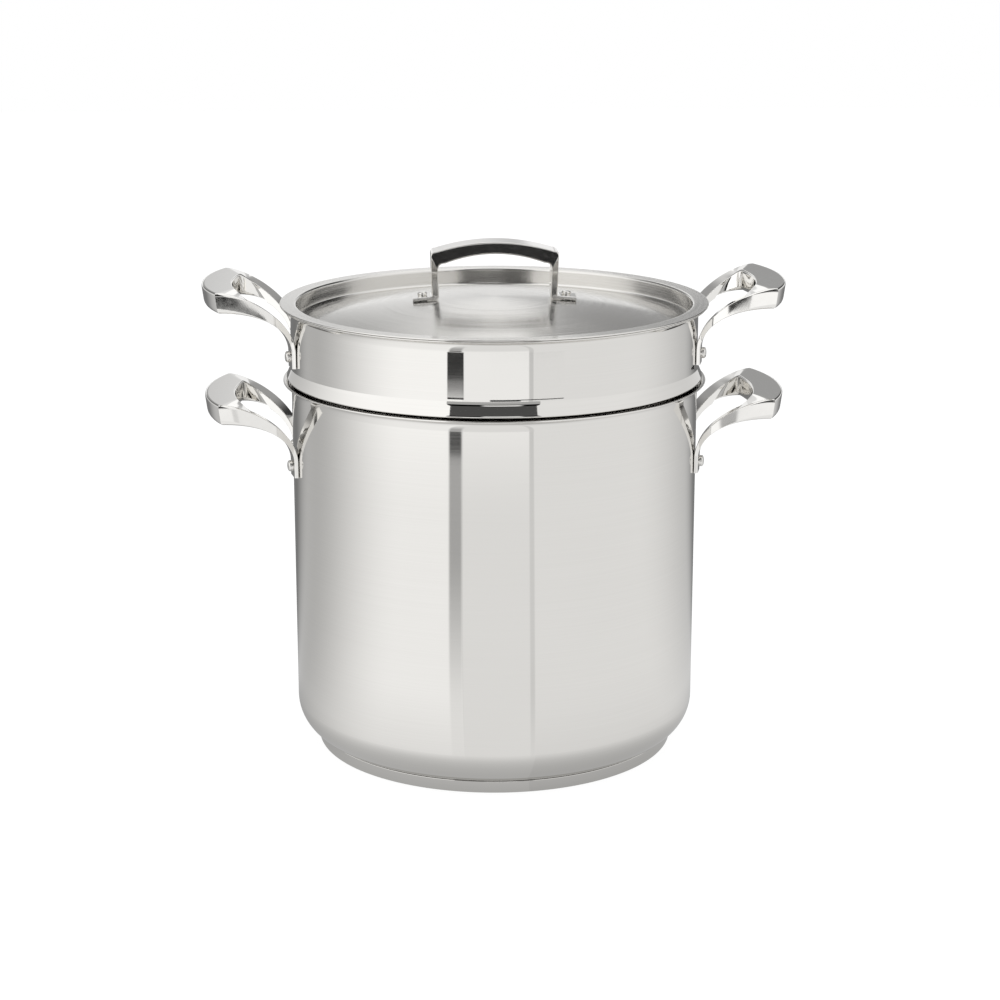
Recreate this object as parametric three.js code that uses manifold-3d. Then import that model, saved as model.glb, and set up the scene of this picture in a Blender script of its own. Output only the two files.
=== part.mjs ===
// Pasta pot: a tall pot with an encapsulated base, a perforated insert that hangs in it, and a lid for both
// Millimetres, +Z up. The origin is the middle of the base, on the surface that the pot stands on.
// Handles point along X. Every sheet-metal piece is a closed profile turned about Z.
import * as THREE from 'three';
import { mergeGeometries, mergeVertices } from 'three/addons/utils/BufferGeometryUtils.js';
import Module from 'manifold-3d';

const wasm = await Module();
wasm.setup();

// Pot
const potInnerRadius = 120;
const potHeight = 224.5;
const potWall = 1;
const cornerRadius = 22;
const rimFlare = 5;
const rimRise = 7;

// Encapsulated base: an aluminium disc inside a stainless cap
const baseHeight = 5.6;
const baseInset = 12.7;
const capSheet = 0.6;
const capEdgeRadius = 1.5;

// Insert: a collar above the pot's rim and a basket below it
const collarHeight = 45.3;
const collarSheet = 0.9;
const skirtFlare = 3.2;
const skirtTop = 9.6;
const skirtBottom = 2.3;
const skirtRound = 0.8;
const seatStep = 1;
const basketSheet = 0.8;
const basketFloorGap = 17.4;
const basketCornerRadius = 14;
const basketFlange = 3;
const basketClearance = 1.8;

// Perforations: staggered rows round the wall below a plain band, and rings on the floor
const holeRadius = 3;
const holeSides = 6;
const holeRowPitch = 22;
const plainBand = 50;
const floorRingPitch = 25;
const holesInFirstRing = 6;

// Lid
const lidSheet = 0.9;
const lidFlange = 6.1;
const lidWallFit = 1.8;
const lidDrop = 10.7;
const lidLedge = 7;
const domeRise = 12.9;

// Side handles: cast loops, measured out from the wall that carries them and down from the grip's level top
const handleReach = 51.4;
const gripDepth = 18.2;
const gripThickness = 12;
const gripWidth = 94;
const gripTopRound = 1.2;
const gripBottomRound = 3;
const gripEndSlant = 1.6;
const gripEndBow = 1.2;
const gripEndShoulder = 36;
const gripLevelRun = 1.4;
const holeWidth = 62;
const holeCornerRun = 6;
const armWidth = 10.5;
const armTurn = 16;
const armTurnUnder = 28;
const armBendOut = 36;
const armBendUnder = 14;
const legSpacing = 53;
const legWidth = 12;
const legThickness = 2.4;
const legDrop = 47.5;
const legStraight = 9;
const legRound = 0.55;
const potHandleBelowRim = 6.5;
const insertHandleAboveRim = 14.5;

// Lid handle: an arched strap with out-turned feet
const strapSpan = 75.6;
const strapRise = 33.4;
const strapArch = 5.4;
const strapWidth = 18;
const strapThickness = 5.6;
const strapLegThickness = 3;
const strapLean = 0.6;
const strapOuterRound = 2.8;
const strapInnerRound = 4.5;
const strapWidenRise = 20;
const footLength = 10.6;
const footWidth = 14;
const footThickness = 2.3;
const footBend = 1.6;

// Rivets
const rivetShankRadius = 2.4;
const rivetHeadRadius = 3.3;
const rivetHeadHeight = 2.8;
const rivetInnerRadius = 5;
const rivetInnerHeight = 1.8;
const rivetAboveLegEnd = 6.3;
const lidRivetHeadRadius = 2.8;
const lidRivetHeadHeight = 2;
const lidRivetInnerRadius = 4.3;
const lidRivetInnerHeight = 1.3;
const innerHeadFlat = 0.7;
const buttonStraight = 0.6;
const buttonFlat = 0.75;

// Fits and facets
const seatGap = 0.3;
const segments = 36;
const curveSteps = 2;
const rivetSides = 8;
const edgeRound = 1.1;
const armSteps = 6;
const gripSteps = 8;
const cornerStep = 3;
const mergeDistance = 1e-4;

// Levels and radii that follow from the sizes above
const potRadius = potInnerRadius + potWall;
const floorTop = baseHeight + potWall;
const baseRadius = potRadius - baseInset;
const facetSag = potRadius * (1 - Math.cos(Math.PI / segments));
const seatRadius = potRadius + seatStep;
const seatShare = Math.sqrt((seatRadius - potInnerRadius) / (potWall + rimFlare));
const collarBottom = potHeight - rimRise * (1 - seatShare) ** 2 + seatGap * Math.SQRT2;
const collarTop = collarBottom + collarHeight;
const basketRadius = potInnerRadius - rivetInnerHeight - facetSag - basketClearance;
const lidBottomOfFlange = collarTop + seatGap;
const lidTop = lidBottomOfFlange + lidSheet;
const lidWallRadius = potInnerRadius - lidWallFit;
const lidLedgeTop = lidTop - lidDrop;
const domeApex = lidLedgeTop + domeRise;
const basketBottom = floorTop + basketFloorGap;
const flangeBottom = collarBottom + collarSheet + seatGap;
const domeEdgeRadius = lidWallRadius - lidLedge;
const domeSphere = (domeEdgeRadius ** 2 + domeRise ** 2) / (2 * domeRise);
const handleSeatRadius = potRadius + seatGap;

const steel = (color, roughness) => new THREE.MeshStandardMaterial({ color, roughness, metalness: 1 });
const brushedSteel = () => steel(0xc9c8c4, 0.34);
const basketSteel = () => steel(0xc4c3c0, 0.3);
const polishedSteel = () => steel(0xd6d5d2, 0.1);
const rivetSteel = () => steel(0xbdbcb9, 0.2);
const bareAluminium = () => steel(0xb4b6b8, 0.5);

// A closed mesh with its shared corners merged and its collapsed triangles left out
function toSolid(geometry) {
  const bare = new THREE.BufferGeometry();
  bare.setAttribute('position', geometry.getAttribute('position').clone());
  if (geometry.index) bare.setIndex(geometry.index.clone());
  const merged = mergeVertices(bare, mergeDistance);
  const corners = merged.index.array;
  const kept = [];
  for (let i = 0; i < corners.length; i += 3) {
    const [a, b, c] = [corners[i], corners[i + 1], corners[i + 2]];
    if (a !== b && b !== c && c !== a) kept.push(a, b, c);
  }
  const vertProperties = new Float32Array(merged.getAttribute('position').array);
  const mesh = new wasm.Mesh({ numProp: 3, vertProperties, triVerts: new Uint32Array(kept) });
  return new wasm.Manifold(mesh);
}

function toGeometry(solid) {
  const { vertProperties, triVerts } = solid.getMesh();
  const geometry = new THREE.BufferGeometry();
  geometry.setAttribute('position', new THREE.BufferAttribute(vertProperties, 3));
  geometry.setIndex(new THREE.BufferAttribute(triVerts, 1));
  geometry.computeVertexNormals();
  return geometry;
}

// A profile of (radius, height), drawn outwards along its underside and back along its top, turned about Z
function revolve(path, sides = segments) {
  const geometry = new THREE.LatheGeometry(path.getPoints(curveSteps), sides);
  return toSolid(geometry.rotateX(Math.PI / 2));
}

// Rings of matching points joined by bands, with a fan over each end
function loft(rings) {
  const count = rings[0].length;
  const positions = rings.flat().flatMap((p) => [p.x, p.y, p.z]);
  const index = [];
  for (let k = 0; k + 1 < rings.length; k += 1) {
    for (let i = 0; i < count; i += 1) {
      const a = k * count + i;
      const b = k * count + (i + 1) % count;
      index.push(a, b, b + count, a, b + count, a + count);
    }
  }
  const last = (rings.length - 1) * count;
  for (let i = 1; i + 1 < count; i += 1) {
    index.push(0, i + 1, i);
    index.push(last, last + i, last + i + 1);
  }
  const geometry = new THREE.BufferGeometry();
  geometry.setAttribute('position', new THREE.Float32BufferAttribute(positions, 3));
  geometry.setIndex(index);
  return toSolid(geometry);
}

// A four-cornered section with each corner rounded by its own amount, in one step or more
function roundedSection(corners, rounds, steps) {
  return corners.flatMap((corner, i) => {
    const before = corners[(i + 3) % 4];
    const after = corners[(i + 1) % 4];
    const room = Math.min(corner.distanceTo(before), corner.distanceTo(after)) / 2 - seatGap;
    const cut = Math.min(rounds[i], room);
    const start = before.clone().sub(corner).setLength(cut).add(corner);
    const end = after.clone().sub(corner).setLength(cut).add(corner);
    return new THREE.QuadraticBezierCurve3(start, corner, end).getPoints(steps[i]);
  });
}

// A bar along a radius of the pot, used to cut a rivet's hole through a wall and a leg
function radialBar(radius, sides, angle, height, from, to) {
  const bar = new THREE.CylinderGeometry(radius, radius, to - from, sides);
  bar.rotateZ(-Math.PI / 2);
  bar.translate((from + to) / 2, 0, 0);
  bar.rotateZ(angle);
  bar.translate(0, 0, height);
  return bar;
}

// A rim that leaves the wall upright and ends in a level lip
function flareOut(path, wallRadius, lipRadius, top, sheet) {
  path.lineTo(wallRadius, top - rimRise);
  path.quadraticCurveTo(wallRadius, top - sheet, lipRadius, top - sheet);
  path.lineTo(lipRadius, top);
}

function flareBack(path, innerRadius, top) {
  path.quadraticCurveTo(innerRadius, top, innerRadius, top - rimRise);
}

// Rivets sit on both legs of each handle: four directions round the pot, at the same angle from X
const rivetAngle = Math.asin(legSpacing / 2 / potRadius);
const legSides = { left_front: Math.PI + rivetAngle, left_back: Math.PI - rivetAngle };
Object.assign(legSides, { right_front: -rivetAngle, right_back: rivetAngle });
const potHandleLevel = potHeight - potHandleBelowRim;
const insertHandleLevel = collarTop + insertHandleAboveRim;
const rivetLevel = (handleLevel) => handleLevel - legDrop + rivetAboveLegEnd;

function rivetHoles(handleLevel) {
  const reachIn = potInnerRadius - rivetInnerRadius;
  const reachOut = handleSeatRadius + rivetInnerRadius;
  const bars = Object.values(legSides).map((angle) =>
    radialBar(rivetShankRadius + seatGap, rivetSides, angle, rivetLevel(handleLevel), reachIn, reachOut));
  return toSolid(mergeGeometries(bars));
}

function potBody() {
  const centre = potRadius - cornerRadius;
  const path = new THREE.Path();
  path.moveTo(0, baseHeight);
  path.lineTo(centre, baseHeight);
  path.absarc(centre, baseHeight + cornerRadius, cornerRadius, -Math.PI / 2, 0, false);
  flareOut(path, potRadius, potRadius + rimFlare, potHeight, potWall);
  flareBack(path, potInnerRadius, potHeight);
  path.lineTo(potInnerRadius, baseHeight + cornerRadius);
  path.absarc(centre, baseHeight + cornerRadius, cornerRadius - potWall, 0, -Math.PI / 2, true);
  path.lineTo(0, floorTop);
  return revolve(path).subtract(rivetHoles(potHandleLevel));
}

// The cap's side rises until it meets the pot's rounded corner
function baseCap() {
  const overArc = baseRadius - (potRadius - cornerRadius);
  const cornerHeight = cornerRadius - Math.sqrt(cornerRadius ** 2 - overArc ** 2);
  const top = baseHeight + cornerHeight - seatGap;
  const path = new THREE.Path();
  path.moveTo(0, 0);
  path.lineTo(baseRadius - capEdgeRadius, 0);
  path.quadraticCurveTo(baseRadius, 0, baseRadius, capEdgeRadius);
  path.lineTo(baseRadius, top);
  path.lineTo(baseRadius - capSheet, top);
  path.lineTo(baseRadius - capSheet, capEdgeRadius);
  path.lineTo(baseRadius - capEdgeRadius, capSheet);
  path.lineTo(0, capSheet);
  return revolve(path);
}

function baseCore() {
  const edge = baseRadius - capSheet - seatGap;
  const bottom = capSheet + seatGap;
  const path = new THREE.Path();
  path.moveTo(0, bottom);
  path.lineTo(edge - capEdgeRadius, bottom);
  path.lineTo(edge, bottom + capEdgeRadius);
  path.lineTo(edge, baseHeight - seatGap);
  path.lineTo(0, baseHeight - seatGap);
  return revolve(path);
}

// A corner of a profile, rounded towards the points before and after it
function roundCorner(path, before, corner, after, cut) {
  const start = before.clone().sub(corner).setLength(cut).add(corner);
  const end = after.clone().sub(corner).setLength(cut).add(corner);
  path.lineTo(start.x, start.y);
  path.quadraticCurveTo(corner.x, corner.y, end.x, end.y);
}

// The collar's foot slopes out as a skirt and turns back in under it, down onto the pot's flared rim
function insertCollar() {
  const shelfEdge = basketRadius + seatGap;
  const shelfTop = collarBottom + collarSheet;
  const inner = potRadius - collarSheet;
  const seat = new THREE.Vector2(seatRadius, collarBottom);
  const edge = new THREE.Vector2(potRadius + skirtFlare, collarBottom + skirtBottom);
  const crease = new THREE.Vector2(potRadius, collarBottom + skirtTop);
  const path = new THREE.Path();
  path.moveTo(shelfEdge, collarBottom);
  path.lineTo(seat.x, seat.y);
  roundCorner(path, seat, edge, crease, skirtRound);
  path.lineTo(crease.x, crease.y);
  flareOut(path, potRadius, potRadius + rimFlare, collarTop, collarSheet);
  flareBack(path, inner, collarTop);
  path.lineTo(inner, crease.y);
  path.lineTo(edge.x - collarSheet - skirtRound / 4, edge.y + skirtRound / 4);
  path.lineTo(seat.x - collarSheet, shelfTop);
  path.lineTo(shelfEdge, shelfTop);
  path.closePath();
  return revolve(path).subtract(rivetHoles(insertHandleLevel));
}

// The basket's flange lies on the collar's shelf; rows of holes fill its wall and rings fill its floor
function insertBasket() {
  const centre = basketRadius - basketCornerRadius;
  const cornerLevel = basketBottom + basketCornerRadius;
  const inner = basketRadius - basketSheet;
  const path = new THREE.Path();
  path.moveTo(0, basketBottom);
  path.lineTo(centre, basketBottom);
  path.absarc(centre, cornerLevel, basketCornerRadius, -Math.PI / 2, 0, false);
  path.lineTo(basketRadius, flangeBottom);
  path.lineTo(basketRadius + basketFlange, flangeBottom);
  path.lineTo(basketRadius + basketFlange, flangeBottom + basketSheet);
  path.lineTo(basketRadius, flangeBottom + basketSheet);
  path.lineTo(inner, flangeBottom);
  path.lineTo(inner, cornerLevel);
  path.absarc(centre, cornerLevel, basketCornerRadius - basketSheet, 0, -Math.PI / 2, true);
  path.lineTo(0, basketBottom + basketSheet);
  const holes = mergeGeometries([...wallHoles(cornerLevel), ...floorHoles(centre)]);
  return revolve(path).subtract(toSolid(holes));
}

// One hole to a facet, on every other facet of a row and on the others in the next row
function wallHoles(cornerLevel) {
  const facet = (2 * Math.PI) / segments;
  const firstRow = cornerLevel + holeRowPitch / 2;
  const holes = [];
  for (let row = 0; firstRow + row * holeRowPitch < flangeBottom - plainBand; row += 1) {
    const height = firstRow + row * holeRowPitch;
    for (let k = row % 2; k < segments; k += 2) {
      const angle = (k + 1 / 2) * facet;
      const [from, to] = [basketRadius - 2 * holeRadius, basketRadius + 2 * holeRadius];
      holes.push(radialBar(holeRadius, holeSides, angle, height, from, to));
    }
  }
  return holes;
}

function floorHoles(flatRadius) {
  const holes = [];
  for (let ring = 0; ring * floorRingPitch + holeRadius < flatRadius; ring += 1) {
    const count = Math.max(1, ring * holesInFirstRing);
    for (let k = 0; k < count; k += 1) {
      const hole = new THREE.CylinderGeometry(holeRadius, holeRadius, 4 * holeRadius, holeSides);
      hole.rotateX(Math.PI / 2);
      hole.translate(ring * floorRingPitch, 0, basketBottom);
      hole.rotateZ((k / count) * 2 * Math.PI);
      holes.push(hole);
    }
  }
  return holes;
}

// The lid drops into the collar from a flat flange, then rises as a shallow dome
function lidShell() {
  const flangeEdge = potRadius + lidFlange;
  const wallInside = lidWallRadius - lidSheet;
  const ledge = lidLedgeTop - lidSheet;
  const bend = 2 * lidSheet;
  const edgeAngle = Math.PI / 2 - Math.asin(domeEdgeRadius / domeSphere);
  const path = new THREE.Path();
  path.moveTo(0, domeApex - lidSheet);
  path.absarc(0, domeApex - domeSphere, domeSphere - lidSheet, Math.PI / 2, edgeAngle, true);
  path.lineTo(lidWallRadius - bend, ledge);
  path.quadraticCurveTo(lidWallRadius, ledge, lidWallRadius, ledge + bend);
  path.lineTo(lidWallRadius, lidBottomOfFlange - lidSheet);
  path.lineTo(lidWallRadius + lidSheet, lidBottomOfFlange);
  path.lineTo(flangeEdge, lidBottomOfFlange);
  path.lineTo(flangeEdge, lidTop);
  path.lineTo(lidWallRadius + lidSheet, lidTop);
  path.quadraticCurveTo(wallInside, lidTop, wallInside, lidTop - bend);
  path.lineTo(wallInside, lidLedgeTop + bend);
  path.quadraticCurveTo(wallInside, lidLedgeTop, wallInside - bend, lidLedgeTop);
  path.lineTo(domeEdgeRadius, lidLedgeTop);
  path.absarc(0, domeApex - domeSphere, domeSphere, edgeAngle, Math.PI / 2, false);
  let shell = revolve(path);
  for (const side of [-1, 1]) shell = shell.subtract(lidRivetHole(side));
  return shell;
}

// Height of the dome's top at a distance from its middle
const domeHeight = (x) => domeApex - domeSphere + Math.sqrt(domeSphere ** 2 - x ** 2);
const footMiddle = strapSpan / 2 + footBend + seatGap + lidRivetHeadRadius;
const domeTilt = Math.asin(footMiddle / domeSphere);

function onDome(geometry, side) {
  geometry.rotateY(side * domeTilt);
  geometry.translate(side * footMiddle, 0, domeHeight(footMiddle));
  return geometry;
}

function lidRivetHole(side) {
  const radius = rivetShankRadius + seatGap;
  const length = 4 * footThickness;
  const bar = new THREE.CylinderGeometry(radius, radius, length, rivetSides);
  return toSolid(onDome(bar.rotateX(Math.PI / 2), side));
}

// Side handle. Its loop is followed from the end of one leg, up the arm, round the grip and down again.
// Across it run four rails: the finger-hole side and the outside, each with an upper and a lower edge.
const armSpan = handleReach - gripLevelRun;
const armUpper = new THREE.CubicBezierCurve(
  new THREE.Vector2(0, legStraight - legDrop),
  new THREE.Vector2(0, -armTurn),
  new THREE.Vector2(armBendOut, 0),
  new THREE.Vector2(armSpan, 0),
);
const armLower = new THREE.CubicBezierCurve(
  new THREE.Vector2(legThickness, legStraight - legDrop),
  new THREE.Vector2(legThickness, -armTurnUnder),
  new THREE.Vector2(armBendUnder, -gripThickness - edgeRound),
  new THREE.Vector2(armSpan - gripEndSlant, -gripThickness),
);

// Height of an edge at a distance from the wall, found on its curve by halving
function heightAt(curve, distance) {
  const halvings = 40;
  let low = 0;
  let high = 1;
  for (let i = 0; i < halvings; i += 1) {
    const middle = (low + high) / 2;
    if (curve.getPoint(middle).x < distance) low = middle;
    else high = middle;
  }
  return curve.getPoint(low).y;
}

// The grip begins this far along the arm's curves
const armShare = 0.6;
const gripHalf = gripWidth / 2;
const holeHalf = holeWidth / 2;
const armOutside = holeHalf + armWidth;
const holeEnd = handleReach - gripDepth;
const legInside = (legSpacing - legWidth) / 2;
const legOutside = (legSpacing + legWidth) / 2;

// Plan of the grip's half: the finger hole's corner and end, and outside them the grip's side and tip
function gripPlan(holeStart, sideStart) {
  const bow = (a, b, c) => new THREE.QuadraticBezierCurve(a, b, c);
  const corner = new THREE.Vector2(handleReach - gripEndBow, gripHalf);
  const sideBow = new THREE.Vector2((sideStart.x + corner.x) / 2, gripHalf);
  const tipBow = new THREE.Vector2(handleReach, gripEndShoulder);
  const holeTurn = new THREE.Vector2(holeEnd, holeHalf - holeCornerRun);
  return {
    holeCorner: bow(holeStart, new THREE.Vector2(holeEnd, holeHalf), holeTurn),
    holeLine: new THREE.LineCurve(holeTurn, new THREE.Vector2(holeEnd, 0)),
    side: bow(sideStart, sideBow, corner),
    tip: bow(corner, tipBow, new THREE.Vector2(handleReach, 0)),
  };
}

// Stations up the arm: both edges take their distance and height from the arm's curves
function armStation(upper, lower, inside, outside) {
  const corners = [
    new THREE.Vector3(upper.x, inside, upper.y),
    new THREE.Vector3(upper.x, outside, upper.y),
    new THREE.Vector3(lower.x, outside, lower.y),
    new THREE.Vector3(lower.x, inside, lower.y),
  ];
  return { corners, grip: 0 };
}

function handleHalf() {
  const { lerp, smoothstep } = THREE.MathUtils;
  const legTip = new THREE.Vector2(0, -legDrop);
  const stations = [armStation(legTip, new THREE.Vector2(legThickness, -legDrop), legInside, legOutside)];
  for (let k = 0; k <= armSteps; k += 1) {
    const t = (k / armSteps) * armShare;
    const widen = smoothstep(t, 0, armShare);
    const inside = lerp(legInside, holeHalf, widen);
    const outside = lerp(legOutside, armOutside, widen);
    stations.push(armStation(armUpper.getPoint(t), armLower.getPoint(t), inside, outside));
  }
  const [holeTop, outTop, , holeLow] = stations.at(-1).corners;
  const plan = gripPlan(new THREE.Vector2(holeTop.x, holeTop.y), new THREE.Vector2(outTop.x, outTop.y));
  const armShift = holeTop.x - holeLow.x;
  for (let k = 1; k <= gripSteps; k += 1) {
    const grip = Math.min(1, k / cornerStep);
    const along = Math.max(0, (k - cornerStep) / (gripSteps - cornerStep));
    const turning = k <= cornerStep;
    const inner = turning ? plan.holeCorner.getPoint(grip) : plan.holeLine.getPoint(along);
    const outer = turning ? plan.side.getPoint(grip) : plan.tip.getPoint(along);
    const innerTop = lerp(heightAt(armUpper, inner.x), -legRound, smoothstep(grip, 0, 1));
    const innerLow = inner.x - lerp(armShift, 0, grip);
    const outerLow = outer.x - lerp(armShift, gripEndSlant, grip);
    const corners = [
      new THREE.Vector3(inner.x, inner.y, innerTop),
      new THREE.Vector3(outer.x, outer.y, heightAt(armUpper, outer.x)),
      new THREE.Vector3(outerLow, outer.y, heightAt(armLower, outerLow)),
      new THREE.Vector3(innerLow, inner.y, heightAt(armLower, innerLow)),
    ];
    stations.push({ corners, grip });
  }
  return stations;
}

// The half loop is mirrored and bent round the wall
function sideHandle(handleLevel, facing) {
  const { lerp } = THREE.MathUtils;
  const half = handleHalf();
  const whole = [
    ...half.map((station) => ({ ...station, mirror: -1 })),
    ...half.slice(0, -1).reverse().map((station) => ({ ...station, mirror: 1 })),
  ];
  const rings = whole.map(({ corners, grip, mirror }) => {
    const placed = corners.map((corner) => {
      const across = corner.y * mirror;
      const wall = Math.sqrt(handleSeatRadius ** 2 - across ** 2);
      return new THREE.Vector3(wall + corner.x, across, handleLevel + corner.z);
    });
    const topRound = lerp(legRound, gripTopRound, grip);
    const lowRound = lerp(legRound, gripBottomRound, grip);
    return roundedSection(placed, [topRound, topRound, lowRound, lowRound], [2, 2, 1, 1]);
  });
  const handle = loft(rings).subtract(rivetHoles(handleLevel));
  return facing > 0 ? handle : handle.rotate([0, 0, 180]);
}

// Lid handle: matching curves along the strap's outside and inside, from a foot's tip to the bar's middle
function strapRails() {
  const point = (x, z) => new THREE.Vector2(x, z);
  const line = (a, b) => new THREE.LineCurve(a, b);
  const bow = (a, b, c) => new THREE.QuadraticBezierCurve(a, b, c);
  const outside = strapSpan / 2;
  const inside = outside - strapLegThickness;
  const heel = domeHeight(inside) + seatGap;
  const top = domeApex + strapRise;
  const shoulder = top - strapArch;
  const under = shoulder - strapThickness;

  const tipUnder = point(outside + footLength, domeHeight(outside + footLength) + seatGap);
  const tipTop = point(tipUnder.x, tipUnder.y + footThickness);
  const heelTop = point(outside + footBend, domeHeight(outside + footBend) + seatGap + footThickness);
  const heelUnder = point(outside, heel);
  const legOuter = point(outside - strapLean, heelTop.y + footBend);
  const legInner = point(inside - strapLean, heel + footBend);
  const cornerOuter = point(outside, shoulder - strapOuterRound);
  const cornerInner = point(inside, under - strapInnerRound);
  const barOuter = point(outside - strapOuterRound, shoulder);
  const barInner = point(inside - strapInnerRound, under);
  const middleOuter = point(0, top);
  const middleInner = point(0, top - strapThickness);

  const footOuterBow = bow(heelTop, point(legOuter.x, heelTop.y), legOuter);
  const footInnerBow = bow(heelUnder, point(legInner.x, heel), legInner);
  const outerArch = bow(barOuter, point(barOuter.x / 2, top), middleOuter);
  const innerArch = bow(barInner, point(barInner.x / 2, middleInner.y), middleInner);
  return [
    { outer: line(tipTop, heelTop), inner: line(tipUnder, heelUnder), steps: 2 },
    { outer: footOuterBow, inner: footInnerBow, steps: 3 },
    { outer: line(legOuter, cornerOuter), inner: line(legInner, cornerInner), steps: 2 },
    {
      outer: bow(cornerOuter, point(outside, shoulder), barOuter),
      inner: bow(cornerInner, point(inside, under), barInner),
      steps: 4,
    },
    { outer: outerArch, inner: innerArch, steps: 4 },
  ];
}

function lidHandle() {
  const half = [];
  strapRails().forEach(({ outer, inner, steps }, piece) => {
    for (let k = piece === 0 ? 0 : 1; k <= steps; k += 1) {
      half.push([outer.getPoint(k / steps), inner.getPoint(k / steps)]);
    }
  });
  const whole = [
    ...half.map(([outer, inner]) => ({ outer, inner, side: 1 })),
    ...half.slice(0, -1).reverse().map(([outer, inner]) => ({ outer, inner, side: -1 })),
  ];
  const rings = whole.map(({ outer, inner, side }) => {
    const widen = THREE.MathUtils.smoothstep(outer.y - domeApex, 0, strapWidenRise);
    const reach = THREE.MathUtils.lerp(footWidth, strapWidth, widen) / 2;
    const corners = [
      new THREE.Vector3(side * outer.x, -reach, outer.y),
      new THREE.Vector3(side * outer.x, reach, outer.y),
      new THREE.Vector3(side * inner.x, reach, inner.y),
      new THREE.Vector3(side * inner.x, -reach, inner.y),
    ];
    return roundedSection(corners, corners.map(() => edgeRound), [1, 1, 1, 1]);
  });
  let handle = loft(rings);
  for (const side of [-1, 1]) handle = handle.subtract(lidRivetHole(side));
  return handle;
}

// A rivet along +Z: a low head at the back, a shank through both sheets and a button head in front
function rivetPath(back, front, innerRadius, innerHeight, headRadius, headHeight) {
  const path = new THREE.Path();
  path.moveTo(0, back - innerHeight);
  path.lineTo(innerRadius * innerHeadFlat, back - innerHeight);
  path.lineTo(innerRadius, back);
  path.lineTo(rivetShankRadius, back);
  path.lineTo(rivetShankRadius, front);
  path.lineTo(headRadius, front);
  path.lineTo(headRadius, front + headHeight * buttonStraight);
  path.lineTo(headRadius * buttonFlat, front + headHeight);
  path.lineTo(0, front + headHeight);
  return path;
}

function sideRivet(handleLevel, angle) {
  const back = -potWall - facetSag - seatGap;
  const front = seatGap + legThickness + seatGap;
  const heads = [rivetInnerRadius, rivetInnerHeight, rivetHeadRadius, rivetHeadHeight];
  const rivet = toGeometry(revolve(rivetPath(back, front, ...heads), rivetSides));
  rivet.rotateY(Math.PI / 2);
  rivet.translate(potRadius, 0, 0);
  rivet.rotateZ(angle);
  rivet.translate(0, 0, rivetLevel(handleLevel));
  return toSolid(rivet);
}

function lidRivet(side) {
  const back = -lidSheet - seatGap;
  const front = seatGap + footThickness + seatGap;
  const heads = [lidRivetInnerRadius, lidRivetInnerHeight, lidRivetHeadRadius, lidRivetHeadHeight];
  const rivet = toGeometry(revolve(rivetPath(back, front, ...heads), rivetSides));
  return toSolid(onDome(rivet, side));
}

const pastaPot = new THREE.Group();

function place(name, solid, material) {
  const mesh = new THREE.Mesh(toGeometry(solid), material);
  mesh.name = name;
  pastaPot.add(mesh);
}

place('pot_body', potBody(), brushedSteel());
place('base_core', baseCore(), bareAluminium());
place('base_cap', baseCap(), brushedSteel());
place('insert_collar', insertCollar(), brushedSteel());
place('insert_basket', insertBasket(), basketSteel());
place('lid_shell', lidShell(), brushedSteel());
place('lid_handle', lidHandle(), polishedSteel());
for (const [owner, level] of [['pot', potHandleLevel], ['insert', insertHandleLevel]]) {
  place(`${owner}_handle_left`, sideHandle(level, -1), polishedSteel());
  place(`${owner}_handle_right`, sideHandle(level, 1), polishedSteel());
  for (const [leg, angle] of Object.entries(legSides)) {
    place(`${owner}_rivet_${leg}`, sideRivet(level, angle), rivetSteel());
  }
}
place('lid_rivet_left', lidRivet(-1), rivetSteel());
place('lid_rivet_right', lidRivet(1), rivetSteel());

export default pastaPot;
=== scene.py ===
# %% [markdown]
# # A pasta pot in brushed and polished steel
# Three loose things make this object: a deep pot, a perforated insert that hangs in it, and a lid that
# fits both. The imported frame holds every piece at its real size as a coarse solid. Here each piece gets a
# fine mesh on the same measures, and then the finish that the real metal has.

# %% Load the measured frame
import math

import bpy
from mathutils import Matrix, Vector


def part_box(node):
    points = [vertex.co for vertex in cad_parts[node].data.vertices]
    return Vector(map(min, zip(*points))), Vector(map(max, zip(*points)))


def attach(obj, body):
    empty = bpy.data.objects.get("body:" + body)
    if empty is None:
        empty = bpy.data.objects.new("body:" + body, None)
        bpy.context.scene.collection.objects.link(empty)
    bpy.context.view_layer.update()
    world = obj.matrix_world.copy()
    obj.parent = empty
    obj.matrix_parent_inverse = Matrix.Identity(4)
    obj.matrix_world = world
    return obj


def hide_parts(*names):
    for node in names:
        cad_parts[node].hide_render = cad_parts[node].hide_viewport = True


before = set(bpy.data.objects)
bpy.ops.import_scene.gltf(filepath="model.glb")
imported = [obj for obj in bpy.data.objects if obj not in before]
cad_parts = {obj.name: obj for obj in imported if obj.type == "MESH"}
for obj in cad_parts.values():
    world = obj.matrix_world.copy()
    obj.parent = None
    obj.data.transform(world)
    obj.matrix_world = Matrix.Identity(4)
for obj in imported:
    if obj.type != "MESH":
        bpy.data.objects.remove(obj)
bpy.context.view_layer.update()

# %% [markdown]
# ## The camera
# The pot was photographed from the front with a long lens, a little above the lid. The circles of the
# rim, the bead and the base give the lens, the height and the pitch of that camera. The handles show that
# it stood slightly to the left of the pot's middle line. A camera placed from these values needs no lens
# shift.

# %% Camera
eye_distance = 1.3858
eye_height = 0.5135
eye_side = math.radians(2.8)
eye_pitch = math.radians(14.81)
eye_yaw = math.radians(0.14)
eye_lens = 84.97

camera = bpy.data.objects.new("camera", bpy.data.cameras.new("camera"))
camera.data.lens = eye_lens
camera.location = (-eye_distance * math.sin(eye_side), -eye_distance * math.cos(eye_side), eye_height)
camera.rotation_euler = (math.pi / 2 - eye_pitch, 0, -eye_side - eye_yaw)
bpy.context.scene.collection.objects.link(camera)
bpy.context.scene.camera = camera
print("camera at", [round(x, 3) for x in camera.location])

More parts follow.
